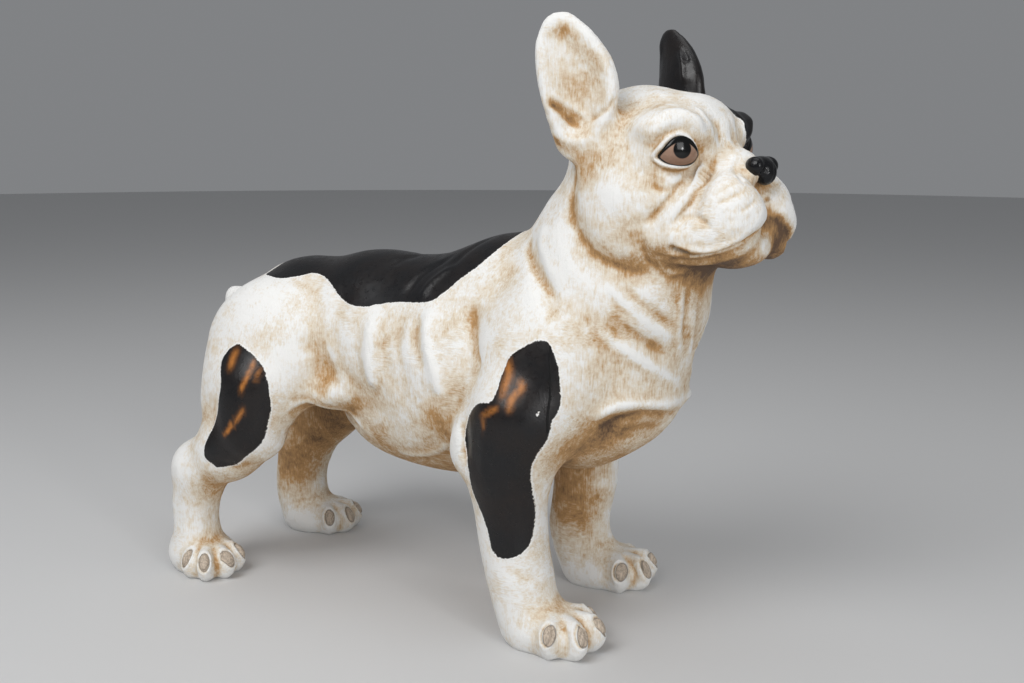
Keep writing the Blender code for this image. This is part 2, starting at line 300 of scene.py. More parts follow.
# Carving: path, width and depth in millimetres; a fold stands up where the depth is below zero.
# The head's right half, mirrored to its left
FACE_CARVING = [
    # brow, eyelid pouch and forehead
    ([(-52, -43, 19), (-48, -48, 27), (-39, -55, 31), (-33, -64, 27), (-30, -68, 21)], 4.0, -1.5),
    ([(-50, -45, 10), (-51, -51, 18), (-47, -59, 23), (-39, -65, 19), (-30, -66, 14)], 1.4, 1.1),
    ([(-47, -46, -3), (-42, -53, -7), (-33, -58, -5)], 3.0, -1.0),
    ([(-48, -43, -10), (-46, -50, -14), (-41, -57, -12), (-34, -59, -9)], 1.9, 1.2),
    ([(-18, -68, 13), (-21, -67, 22), (-23, -63, 29), (-21, -55, 35)], 2.6, -1.2),
    ([(-12, -70, 11), (-11, -68, 21), (-14, -64, 29)], 1.4, 1.2),
    ([(-6, -74, 11), (-4, -70, 21), (-3, -66, 30)], 2.4, -0.9),
    # crease round the muzzle, the thick fold behind it, and the next crease
    ([(-14, -69, 9), (-18, -69, 2), (-23, -70, -4), (-28, -69, -9), (-33, -66, -14), (-37, -65, -21),
      (-41, -62, -27), (-47, -55, -36)], 1.5, 2.2),
    ([(-20, -67, 5), (-26, -66, -3), (-31, -65, -10), (-37, -61, -18), (-43, -56, -26),
      (-48, -49, -35)], 3.0, -1.4),
    ([(-33, -60, -4), (-38, -58, -10), (-43, -54, -18), (-47, -48, -27), (-50, -42, -34)], 1.6, 1.4),
    ([(-44, -58, -33), (-41, -62, -30), (-40, -69, -29), (-41, -76, -32), (-40, -81, -36)], 2.0, 1.7),
    ([(-48, -42, -43), (-47, -39, -47), (-43, -39, -56), (-35, -42, -63)], 1.8, 1.1),
    # wrinkles on the hanging lip and beside the nose
    ([(-39, -82, -22), (-36, -87, -19), (-33, -90, -17), (-26, -94, -14)], 1.1, 0.9),
    ([(-40, -85, -25), (-36, -91, -22), (-29, -96, -18)], 1.3, -0.4),
    ([(-38, -78, -17), (-35, -83, -14), (-30, -87, -10)], 1.2, 0.7),
    ([(-36, -73, -12), (-32, -79, -9), (-27, -83, -5)], 1.3, 0.4),
    ([(-33, -94, -26), (-28, -97, -23), (-22, -99, -19)], 1.1, 1.0),
    ([(-37, -88, -31), (-32, -95, -30), (-26, -99, -27)], 1.3, 0.4),
    ([(-11, -81, 5), (-19, -84, -4), (-23, -92, -9), (-10, -94, -12)], 1.8, 1.0),
    # the lip's edge, the line of the mouth, its open corner and the jowl under it
    ([(-17, -101, -21), (-21, -101, -29), (-27, -98, -36), (-33, -91, -43), (-38, -80, -48),
      (-43, -69, -48), (-47, -60, -45)], 2.0, -1.3),
    ([(-8, -98, -28), (-16, -99, -34), (-24, -97, -41), (-31, -90, -46), (-37, -79, -51),
      (-41, -68, -53), (-45, -60, -51)], 1.2, 2.8),
    ([(-47, -55, -48), (-44, -61, -51), (-41, -68, -53)], 2.7, 5.0),
    ([(-44, -46, -55), (-33, -45, -62), (-27, -49, -65), (-17, -56, -63)], 2.0, -1.1),
    # cheek, and the pocket at the foot of the ear
    ([(-56, 8, 2), (-49, 14, -13), (-51, 11, -30), (-54, 1, -45), (-53, -10, -56), (-48, -23, -62),
      (-39, -37, -65)], 2.4, 1.3),
    ([(-68, 18, 37), (-64, 14, 33), (-58, 10, 27), (-54, 3, 21)], 2.1, 2.3),
    ([(-68, 17, 42), (-62, 12, 38), (-55, 6, 32), (-52, -2, 26)], 2.2, -1.1),
    ([(-50, -19, 40), (-53, -17, 34), (-53, -8, 29), (-52, -1, 26)], 1.8, 1.3),
]

# The body's right half, mirrored to its left
BODY_CARVING = [
    # neck, chest and throat
    ([(-34, -63, 263), (-37, -61, 256), (-49, -73, 243), (-57, -86, 233), (-61, -94, 226)], 3.0, 1.8),
    ([(-43, -79, 272), (-45, -75, 262), (-51, -82, 249), (-58, -94, 237)], 4.0, -1.5),
    ([(-51, -133, 237), (-46, -146, 225), (-30, -159, 212)], 3.5, 1.5),
    ([(-53, -122, 240), (-51, -134, 227), (-41, -148, 213), (-26, -159, 203)], 3.0, -1.6),
    ([(-55, -125, 222), (-50, -134, 213), (-39, -145, 202), (-27, -154, 194)], 3.5, 1.4),
    ([(-57, -117, 217), (-51, -127, 203), (-41, -142, 190), (-26, -152, 180), (-6, -158, 169)], 3.0, -1.5),
    ([(-29, -165, 240), (-28, -163, 219), (-24, -161, 204), (-15, -159, 189)], 1.6, -1.1),
    ([(-25, -167, 235), (-24, -165, 218), (-19, -162, 201)], 1.7, 0.9),
    ([(-19, -168, 225), (-14, -165, 210), (-9, -162, 198), (-3, -161, 187)], 1.8, -1.1),
    ([(-1, -158, 160), (-21, -154, 159), (-38, -141, 161), (-46, -132, 161), (-51, -124, 157),
      (-52, -116, 150)], 2.2, -2.0),
    ([(-2, -153, 150), (-30, -145, 153), (-39, -133, 152), (-42, -123, 147), (-41, -114, 136)], 5.0, 2.2),
    # ribs
    ([(-51, 49, 207), (-57, 50, 192), (-58, 51, 179), (-56, 49, 162), (-53, 49, 155)], 4.0, -1.7),
    ([(-55, 35, 198), (-58, 37, 184), (-59, 33, 169), (-59, 26, 156)], 5.0, 1.0),
    ([(-55, 20, 206), (-60, 21, 190), (-62, 17, 172)], 4.0, -0.8),
    ([(-55, 11, 208), (-59, 11, 196), (-63, 6, 183), (-65, 1, 171)], 4.0, 1.3),
    ([(-54, 3, 213), (-61, 2, 201), (-65, -2, 187), (-66, -7, 174), (-65, -9, 163),
      (-63, -15, 158)], 3.0, -1.7),
    ([(-51, -28, 218), (-57, -31, 203), (-65, -35, 188), (-70, -43, 179)], 3.0, 1.3),
    # groin, the fold of skin before the thigh, and the belly's edge
    ([(-58, 108, 188), (-56, 99, 178), (-54, 94, 164), (-52, 95, 151), (-54, 99, 143)], 8.0, 2.2),
    ([(-52, 88, 188), (-50, 84, 172), (-48, 80, 160), (-46, 72, 151)], 4.0, -1.4),
    ([(-66, 118, 128), (-59, 107, 135), (-46, 98, 136), (-38, 82, 128), (-35, 65, 116)], 2.2, -1.5),
    ([(-36, 43, 108), (-39, 26, 108), (-46, 3, 115), (-60, -16, 122)], 2.5, -1.0),
    ([(-72, -30, 146), (-80, -37, 136), (-80, -38, 122)], 2.2, 1.2),
    # folds of the back
    ([(-20, 3, 247), (-28, 18, 237), (-38, 25, 228), (-46, 27, 219)], 3.0, 1.7),
    ([(-32, -5, 241), (-37, 6, 233), (-43, 12, 226), (-49, 13, 218)], 3.0, -1.5),
    ([(-4, 40, 246), (-15, 48, 241), (-26, 53, 236)], 3.5, 1.2),
    ([(-6, -22, 258), (-20, -8, 250), (-34, 0, 240)], 3.0, 1.2),
    # hock and pastern
    ([(-79, 150, 88), (-78, 165, 96), (-76, 180, 92)], 4.0, 0.9),
    ([(-80, -66, 58), (-78, -84, 50), (-68, -92, 52)], 4.0, 0.8),
]

MIDLINE_CARVING = [
    ([(0, -98, -10), (0, -95, -18), (0, -93, -30), (0, -90, -38)], 1.6, 3.4),
    ([(0, -80, -50), (0, -93, -45)], 3.0, 0.6),
]

# The ridge inside the left ear
LEFT_EAR_CARVING = [
    ([(48, -1, 74), (48, -6, 66), (47, -9, 57), (45, -11, 50)], 1.9, -1.8),
    ([(52, -3, 74), (52, -8, 66), (51, -12, 57), (49, -14, 50)], 2.2, 1.0),
]

# Broad swellings and dips of the head's right half: middle, radius, height
SWELLINGS = [
    ((-55, -27, -20), 14, 2.0),
    ((-30, -92, -32), 9, 1.2),
    ((-16, -100, -30), 10, 1.6),
    ((-45, -44, -45), 6, 1.4),
    ((-25, 8, 44), 8, 1.2),
    ((-8, -48, 40), 9, 0.8),
    ((-12, -90, -40), 6, -0.6),
]
NOSE_BED = ((0, -92, -4), 13.5, -4.5)  # dip that the nose sits in

# Blotches of the tan base coat: head's frame, then clay's frame; middle, radius, strength. Many are real
# stains; those under the chin and chest, in the mouth's corner and down the groove between the lips are
# partly painted shade, and those below zero, whiter, are painted highlights on the tops of the neck, rump,
# thigh and ribs and on the brow and lip.
HEAD_STAINS_SHADE_AND_HIGHLIGHTS = [
    ((-54, -11, 4), 9, 0.40), ((-52, -22, 2), 8, 0.25), ((-47, -47, -12), 6, 0.38),
    ((-50, -38, -9), 6, 0.30), ((-58, -7, -31), 8, 0.36), ((-55, -23, -42), 9, 0.36),
    ((-42, -74, -33), 5, 0.42), ((-36, -37, 34), 8, 0.25), ((-54, 2, -8), 9, 0.50),
    ((-52, 10, -28), 9, 0.45), ((-53, -4, -52), 9, 0.45), ((-44, -28, -64), 10, 0.50),
    ((-63, 10, 81), 8, 0.40), ((-55, -11, 59), 6, 0.35), ((-57, 8, 46), 9, 0.40),
    ((-52, -9, 38), 6, 0.35), ((-68, 18, 37), 4, 0.5), ((-64, 14, 33), 4, 0.6), ((-58, 10, 27), 4, 0.5),
    ((-60, 18, 12), 5, 0.5), ((0, -66, -62), 22, 0.45), ((-26, -52, -66), 12, 0.3),
    ((0, -30, -66), 26, 0.3), ((-14, -82, 0), 5, 0.3), ((-6, -66, 24), 7, 0.22), ((10, -84, -40), 7, 0.5),
    ((0, -95, -17), 4, 0.8), ((-1, -94, -25), 4, 1.0), ((-3, -93, -33), 5, 1.0),
    ((-12, -96, -52), 9, 0.30), ((-27, -80, -57), 9, 0.45), ((-44, -61, -52), 5, 0.9),
    ((-22, -62, 2), 4, 0.25), ((-52, -56, 30), 7, -0.3), ((-40, -84, -30), 12, -0.12),
]
# Brown under the left hanging lip: unpainted base coat, and partly painted shade where it faces down
LEFT_LIP_STAINS_AND_SHADE = [
    ((13, -97, -42), 8, 0.9), ((20, -97, -48), 9, 0.9), ((27, -85, -52), 10, 0.6),
    ((9, -95, -33), 5, 0.6),
]
BODY_STAINS_SHADE_AND_HIGHLIGHTS = [
    ((-54, -22, 209), 11, 0.26), ((-72, -57, 196), 9, 0.24), ((-53, -129, 217), 9, 0.36),
    ((-58, -117, 201), 11, 0.36), ((-33, -160, 219), 11, 0.34), ((-54, -123, 176), 13, 0.30),
    ((-35, -128, 145), 15, 0.55), ((-60, -100, 130), 10, 0.45), ((-41, -113, 135), 13, 0.5),
    ((-54, 98, 190), 9, 0.40), ((-51, 95, 149), 11, 0.42), ((-51, 64, 204), 8, 0.24),
    ((-59, 27, 158), 11, 0.30), ((-60, 0, 142), 12, 0.40), ((-65, 128, 189), 9, 0.2),
    ((-61, 105, 167), 8, 0.25), ((-20, -168, 205), 9, 0.35), ((-6, -158, 170), 10, 0.35),
    ((-62, -70, 62), 11, 0.30), ((-52, -118, 190), 9, 0.2), ((-70, 100, 110), 12, 0.30),
    ((-62, 180, 60), 14, 0.22), ((-78, -46, 110), 7, 0.35), ((-40, 60, 112), 12, 0.35),
    ((-60, -100, 30), 9, 0.25), ((-64, 190, 30), 9, 0.3), ((-50, -92, 250), 22, -0.22),
    ((-50, 150, 212), 24, -0.25), ((-76, 120, 170), 16, -0.2), ((-62, -40, 200), 16, -0.12),
    ((-58, 50, 180), 6, -0.2), ((-64, -4, 185), 6, -0.2),
]

# Streaks rubbed through the black, in the clay's frame: path and width
RUBS = [
    ([(-76, -66, 188), (-78, -68, 181), (-82, -67, 175), (-85, -67, 169)], 2.6),
    ([(-80, -76, 178), (-81, -78, 174), (-85, -73, 168), (-88, -73, 161)], 2.0),
    ([(-86, -53, 155), (-87, -58, 157), (-88, -64, 161)], 1.7),
    ([(-87, -55, 152), (-87, -55, 148)], 1.5),
    ([(-73, 154, 175), (-75, 155, 170), (-78, 155, 164)], 2.8),
    ([(-74, 138, 170), (-77, 138, 164), (-80, 140, 158), (-83, 143, 149)], 1.5),
    ([(-73, 132, 165), (-76, 133, 161), (-78, 133, 156)], 1.1),
    ([(-83, 141, 136), (-84, 145, 130), (-85, 150, 124), (-86, 157, 116)], 1.4),
]
# The crack in the shoulder patch, as (y, z), and where its black is chipped off: middle and radius
CRACK = [(-94, 146), (-94, 160), (-94.5, 170), (-94, 179), (-93, 188), (-92.5, 200)]
CHIPS = [((-81, -90, 160), 1.1), ((-81, -89, 158.5), 0.9)]

# The right eyeball in the head's frame, and the outline of its opening in millimetres on the ball:
# outwards and upwards from the point that the eye looks through
EYE_MIDDLE = (-33.2, -47.0, 9.0)
EYE_LOOKS = (-0.5, -0.866, 0.0)
EYE_OPENING = [
    (16.0, -4.6), (13.6, -6.8), (10.0, -8.4), (4.5, -8.9), (-3.5, -8.7), (-8.2, -7.2), (-10.3, -4.6),
    (-11.0, -2.4), (-6.0, 3.4), (-1.6, 7.0), (3.1, 7.9), (7.9, 5.6), (12.2, 1.0),
]
PUPIL_AT = (2.4, 0.6)
LID = 1.3  # thickness of the lids over the eyeball

# The black patches. The saddle: along the back, and down from the spine over a ball of 70 mm
SADDLE_RADIUS, SADDLE_AXIS = 70.0, 170.0
SADDLE = [
    (158, 14), (160, 34), (150, 42), (138, 44), (126, 37), (117, 32), (102, 38), (86, 52), (73, 60),
    (60, 61), (48, 58), (32, 56), (16, 57), (5, 56), (-3, 49), (-12, 41), (-24, 32), (-33, 21), (-40, 8),
]
# On the right flank, as (y, z) of the clay's frame
SHOULDER = [
    (-88, 203), (-82, 202), (-75, 198), (-68, 193), (-65, 187), (-63, 180), (-62, 170), (-59, 164),
    (-50, 162), (-43, 157), (-37, 148), (-35, 138), (-38, 126), (-42, 115), (-44, 103), (-50, 91),
    (-55, 78), (-57, 68), (-60, 63), (-67, 62), (-74, 64), (-79, 69), (-81, 77), (-82, 97), (-82, 110),
    (-83, 121), (-86, 130), (-91, 138), (-95, 147), (-96, 154), (-99, 160), (-100, 169), (-99, 181),
    (-97, 190), (-92, 201),
]
THIGH = [
    (153, 180), (158, 178), (163, 174), (166, 168), (165, 162), (162, 155), (162, 148), (164, 140),
    (165, 134), (169, 123), (173, 115), (177, 106), (178, 99), (176, 95), (172, 92), (169, 90), (161, 91),
    (153, 94), (146, 99), (138, 105), (132, 112), (130, 120), (128, 129), (126, 138), (126, 152),
    (128, 160), (131, 166), (136, 171), (142, 175),
]
# Over the left eye, as (x, z) of the head's frame seen from the front
MASK = [
    (26, 52), (14, 40), (12, 33), (17, 29), (21, 27), (20, 21), (22, 15), (30, 3), (44, -8), (58, -4),
    (64, 16), (70, 52),
]


def carve(points, normals, path, width, depth, tree=None):
    """Presses a tool along the path, or raises a fold, by millimetres; both fade out at the ends."""
    curve, width, depth = rounded(path), width / 1000, depth / 1000
    if tree:
        curve = np.array([tree.find_nearest(Vector(p))[0] for p in curve])
    reach = 3 * width
    near = ((points > curve.min(0) - reach) & (points < curve.max(0) + reach)).all(axis=1)
    if near.any():
        gap, share = along_curve(points[near], curve)
        force = np.minimum(1, 5 * np.minimum(share, 1 - share) + 0.05)
        points[near] -= normals[near] * (depth * force * np.exp(-((gap / width) ** 2)))[:, None]


def swell(points, normals, middle, radius, height):
    gap = np.linalg.norm(points - middle, axis=1)
    points += normals * (height / 1000 * np.exp(-((gap * 1000 / radius) ** 2)))[:, None]


def carve_all(obj, points, normals):
    """All the folds and creases of the skin, drawn on its surface."""
    tree = BVHTree.FromPolygons(points.tolist(), [p.vertices[:] for p in obj.data.polygons])
    swell(points, normals, from_head(NOSE_BED[0])[0], *NOSE_BED[1:])
    for side in (False, True):
        for middle, radius, height in SWELLINGS:
            swell(points, normals, from_head(middle, side)[0], radius, height)
        for lift, carving in ((from_head, FACE_CARVING), (from_clay, BODY_CARVING)):
            for path, width, depth in carving:
                carve(points, normals, lift(path, side), width, depth, tree)
    for path, width, depth in (*MIDLINE_CARVING, *LEFT_EAR_CARVING):
        carve(points, normals, from_head(path), width, depth, tree)
    for path in toe_grooves():
        carve(points, normals, path, 1.7, 1.4, tree)


def eye_rim_spot(flat, mirrored):
    """A point of the opening's outline, as a place in the row frame."""
    radius = bpy.context.scene.statue_sizes.eyeball_radius * 1000
    looks = np.array(EYE_LOOKS) / np.linalg.norm(EYE_LOOKS)
    outward = np.cross(looks, (0, 0, 1))
    angle = np.hypot(*flat) / radius
    tilt = np.asarray(flat) / max(np.hypot(*flat), 1e-9)
    way = looks * math.cos(angle) + (outward * tilt[0] + np.array((0, 0, 1)) * tilt[1]) * math.sin(angle)
    return from_head(np.array(EYE_MIDDLE) + way * (radius + LID), mirrored)[0]


def outside_opening(flat):
    """How far flat points are outside the eye's opening."""
    return outline_distance(flat, rounded(EYE_OPENING, 4, closed=True))


def detail_spots():
    """Where the face needs a finer skin."""
    right = [(-30, -50, 0), (-30, -60, -40), (-62, 8, 45)]
    return from_head([*right, *((-x, y, z) for x, y, z in right), (0, -70, -20)])


def seen_from_eye(points, mirrored=False):
    """Points round an eyeball: millimetres outwards and upwards on the ball, and distance from its middle."""
    middle = from_head(EYE_MIDDLE, mirrored)[0]
    looks = from_head(np.array(EYE_MIDDLE) + EYE_LOOKS, mirrored)[0] - middle
    looks /= np.linalg.norm(looks)
    outward = np.cross(looks, (0, 0, 1)) * (-1 if mirrored else 1)
    away = (points - middle) * 1000
    distance = np.linalg.norm(away, axis=1)
    away = away / np.maximum(distance, 1e-9)[:, None]
    angle = np.arccos(np.clip(away @ looks, -1, 1))
    radius = bpy.context.scene.statue_sizes.eyeball_radius * 1000
    stretch = radius * angle / np.maximum(np.sin(angle), 1e-6)
    return np.stack([stretch * (away @ outward), stretch * away[:, 2]], axis=1), distance, away, middle


def open_eye(points, mirrored):
    """Draws the skin down to a lid's thickness over the eyeball, raises the rims and opens the eye."""
    flat, distance, away, middle = seen_from_eye(points, mirrored)
    radius = bpy.context.scene.statue_sizes.eyeball_radius * 1000
    near = (distance < radius + 12) & (np.hypot(*flat.T) < 28) & (distance > radius - 8)
    edge = outside_opening(flat[near])
    lid = radius + LID
    draw = np.clip(1 - (edge - 1.4) / 6.0, 0, 1)
    draw = draw * draw * (3 - 2 * draw)
    out = distance[near] * (1 - draw) + lid * draw
    upper = np.clip((flat[near][:, 1] + 6) / 6, 0, 1)
    out += (0.3 + 0.4 * upper) * np.exp(-(((edge - 1.3) / 1.1) ** 2))
    out -= 1.0 * np.exp(-(((edge - 3.8) / 0.9) ** 2)) * np.clip(upper, 0.25, 1)
    inside = np.clip(0.5 - edge / 0.5, 0, 1)
    out = out * (1 - inside) + (radius - 3) * inside
    points[near] = middle + away[near] * out[:, None] / 1000


# Each paw: middle, how far it turns out, half length and height of its toes, and how far they fan out
PAWS = [
    (-60, -93, 12, 31, 27, 58), (60, -82, -8, 31, 27, 58),
    (-60, 200, 36, 30, 24.5, 50), (60, 183, -14, 30, 24.5, 50),
]
TOES = [(-1, 0.44), (-1 / 3, 0.64), (1 / 3, 0.64), (1, 0.50)]  # share of the fan, and how far ahead


def paw_place(paw, angle, reach, height):
    """A point of a paw, as an angle from straight ahead and a distance from its middle."""
    x, y, out = paw[:3]
    side = math.copysign(1, -x)
    turn = math.radians(angle * side - out)
    return from_clay((x + reach * math.sin(turn), y - reach * math.cos(turn), height))[0]


def nail_places():
    """Each toe's nail: middle, direction it faces, and direction up along it, found on the cast paws."""
    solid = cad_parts[STATUE]
    corners = [v.co for v in solid.data.vertices]
    tree = BVHTree.FromPolygons(corners, [p.vertices[:] for p in solid.data.polygons])
    found = []
    for paw in PAWS:
        long, high, spread = paw[3:]
        for share, ahead in TOES:
            fan = share * spread
            start = paw_place(paw, fan * 1.12, long * 2.2, high * 0.95)
            end = paw_place(paw, fan, ahead * long, high * 0.60)
            spot, normal, _, _ = tree.ray_cast(Vector(start), Vector(end - start).normalized())
            rise = (Vector((0, 0, 1)) - normal * normal.z).normalized()
            found.append((np.array(spot), np.array(normal), np.array(rise)))
    return found


def toe_grooves():
    """The grooves between the toes, from the instep down to the ground."""
    # shares of the angle, of the toes' length and of their height
    stations = [(0.9, 0.42, 1.02), (1, 0.72, 0.92), (1, 0.98, 0.6), (1, 0.95, 0.25), (1, 0.85, 0)]
    return [
        [paw_place(paw, angle * turn, long * ahead, high * up) for turn, ahead, up in stations]
        for paw in PAWS
        for long, high, spread in [paw[3:]]
        for angle in (-spread * 2 / 3, 0, spread * 2 / 3)
    ]


def nail_edge(points, nail, half=(0.0038, 0.0066)):
    """How far points are outside a nail's oval, in millimetres."""
    spot, normal, rise = nail
    away = points - spot
    side = np.cross(normal, rise)
    reach = np.hypot(away @ side / half[0], away @ rise / half[1])
    edge = (reach - 1) * (half[0] + half[1]) * 500
    return np.where(np.abs(away @ normal) < 0.006, edge, 99.0)


def set_nails(points, normals, nails):
    for nail in nails:
        edge = nail_edge(points, nail)
        near = edge < 4
        push = 0.9 * np.exp(-((edge[near] / 0.75) ** 2)) - 0.5 * np.clip(-edge[near] / 2.5, 0, 1)
        push -= 0.45 * np.exp(-(((edge[near] - 1.7) / 1.0) ** 2))
        points[near] -= normals[near] * (push / 1000)[:, None]


def build_skin():
    obj = skin_copy()
    corners, normals, tris = mesh_points(obj), mesh_normals(obj), triangles_of(obj)
    only(obj)
    obj.data.remesh_voxel_size = bpy.context.scene.statue_sizes.skin_cell
    bpy.ops.object.voxel_remesh()
    nails = nail_places()
    toes = [spot for spot, *_ in nails]
    rims = [eye_rim_spot(p, side) for p in rounded(EYE_OPENING, 2, closed=True) for side in (False, True)]
    refine(obj, detail_spots(), 0.034)
    refine(obj, from_head([(-26, -84, -22), (-36, -74, -36), (-42, -58, -48)]), 0.018)
    refine(obj, toes, 0.013)
    refine(obj, rims, 0.0042)
    refine(obj, toes, 0.0085)
    points = round_off(mesh_points(obj), corners, tris, normals)
    points[:, 2] = np.maximum(points[:, 2], 0)
    ground = points[:, 2] < 0.0004
    web = Neighbours(obj)
    smoothed = web.smooth(points, 3, 0.5)
    points = np.where(ground[:, None], points, smoothed)
    put_points(obj, points)
    points, normals = mesh_points(obj), mesh_normals(obj)
    carve_all(obj, points, normals)
    points = np.where(ground[:, None], points, web.smooth(points, 2, 0.35))
    set_nails(points, normals, nails)
    for side in (False, True):
        open_eye(points, side)
    put_points(obj, points)
    return obj, web, nails


def lighten(obj):
    """Joins the skin's smallest faces where it is smooth, and leaves the carving."""
    only(obj)
    light = obj.modifiers.new("light", "DECIMATE")
    light.ratio = SKIN_TRIANGLES / len(triangles_of(obj))
    bpy.ops.object.modifier_apply(modifier=light.name)


def fit_in_box(obj):
    """Brings the finished skin back to the solid's box."""
    points = mesh_points(obj)
    low, high = (np.array(v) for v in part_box(STATUE))
    own_low, own_high = points.min(0), points.max(0)
    points = (points - own_low) / (own_high - own_low) * (high - low) + low
    put_points(obj, points)


# ---------------------------------------------------------------- the skin's paint

def black_patches(points):
    """Distance of each point from the nearest black patch's edge, in millimetres, below zero inside."""
    clay = points * 1000 - np.array(CLAY_TO_ROW.translation)
    x, y, z = clay.T
    drop = SADDLE_RADIUS * np.arctan2(x, z - SADDLE_AXIS)
    right = np.array(SADDLE, float)
    saddle = np.vstack([right * (1, -1), (right * (1, 0.94) + (1.5, 0))[::-1]])
    found = outline_distance(np.stack([y, drop], axis=1), rounded(saddle, 3, closed=True))
    found = np.where(z > SADDLE_AXIS, found, 60)
    flank = np.stack([y, z], axis=1)
    for outline in (SHOULDER, THIGH):
        patch = outline_distance(flank, rounded(outline, 3, closed=True))
        found = np.where(x < -30, np.minimum(found, patch), found)
    back = np.array((CLAY_TO_ROW @ HEAD_TO_CLAY).inverted())
    head = (points * 1000) @ back[:3, :3].T + back[:3, 3]
    mask = outline_distance(head[:, [0, 2]], rounded(MASK, 3, closed=True))
    mask = np.where(head[:, 1] < 16, mask, 60)
    ear = np.maximum(47.0 - head[:, 2], 30 - head[:, 0]) * 0.8
    ear = np.where(head[:, 2] > 36, ear, 60)
    on_head = (head[:, 0] > 0) & (head[:, 2] > -20) & (head[:, 1] < 40)
    return np.where(on_head, np.minimum(found, np.minimum(mask, ear)), found)


def stains_and_shade(points, normals):
    """How much of the tan base coat shows: in blotches of stain, painted shade and painted highlight, as
    painted shade underneath, and as painted shade inside the legs.
    """
    found = np.zeros(len(points))
    for lift, spots in ((from_head, HEAD_STAINS_SHADE_AND_HIGHLIGHTS), (from_clay, BODY_STAINS_SHADE_AND_HIGHLIGHTS)):
        for middle, radius, strength in spots:
            for side in (False, True):
                gap = np.linalg.norm(points - lift(middle, side)[0], axis=1) * 1000
                found += strength * np.exp(-((gap / radius) ** 2)) * (0.8 if side else 1.0)
    for middle, radius, strength in LEFT_LIP_STAINS_AND_SHADE:
        gap = np.linalg.norm(points - from_head(middle)[0], axis=1) * 1000
        found += strength * np.exp(-((gap / radius) ** 2))
    x, y, z = (points * 1000).T
    # painted shade: warm tan on every surface that faces down, in place of the warm light bounced up from
    # below
    under = np.clip(-normals[:, 2] - 0.05, 0, 1) * np.clip((z - 12) / 20, 0, 1)
    # painted shade on the insides of the legs
    inner = np.clip(-normals[:, 0] * np.sign(x), 0, 1)
    inner = inner * np.clip((150 - z) / 40, 0, 1) * np.clip((z - 15) / 40, 0, 1)
    return found + 0.85 * under + 0.85 * inner


def rub_map(points):
    """How far the black is rubbed through, strongest in the middle of each streak."""
    found = np.zeros(len(points))
    for path, width in RUBS:
        gap, share = along_curve(points, rounded(from_clay(path), 4))
        faded = np.minimum(1, 0.5 + 4 * np.minimum(share, 1 - share))
        found = np.maximum(found, np.exp(-((gap * 1000 / width) ** 2)) * faded)
    return found


def paint_maps(obj, web, nails):
    points, normals = mesh_points(obj), mesh_normals(obj)
    fine = ((web.smooth(points, 4) - points) * normals).sum(axis=1) * 1000
    broad = ((web.smooth(points, 36) - points) * normals).sum(axis=1) * 1000
    # the dry-brushed base coat left in the hollows, plus painted shade deepening the hollows and a painted
    # highlight whitening the ridges
    drybrush_shade_and_highlight = np.clip(web.smooth(fine, 1) * 1.1, -0.3, 0.32) + np.clip(broad * 0.22, -0.22, 0.3)
    put_attribute(obj, "drybrush_shade_and_highlight", drybrush_shade_and_highlight)
    # umber in the deepest creases: a dark stain of the paint and a painted shade
    put_attribute(obj, "deep_crease_stain_and_shade", np.clip(web.smooth(fine, 1) - 0.45, 0, 1))
    put_attribute(obj, "stain_and_shade", web.smooth(stains_and_shade(points, normals), 4))
    put_attribute(obj, "rub", rub_map(points))
    put_attribute(obj, "patch", np.clip(black_patches(points), -20, 20))
    nearest = np.min([nail_edge(points, nail) for nail in nails], axis=0)
    put_attribute(obj, "nail", np.clip(nearest, -5, 5))
    crack = np.array(CRACK, float)
    clay = points * 1000 - np.array(CLAY_TO_ROW.translation)
    offset = clay[:, 1] - np.interp(clay[:, 2], crack[:, 1], crack[:, 0])
    on_it = (clay[:, 0] < -30) & (clay[:, 2] > 146) & (clay[:, 2] < 210) & (np.abs(offset) < 12)
    put_attribute(obj, "crack", np.where(on_it, offset, 12))


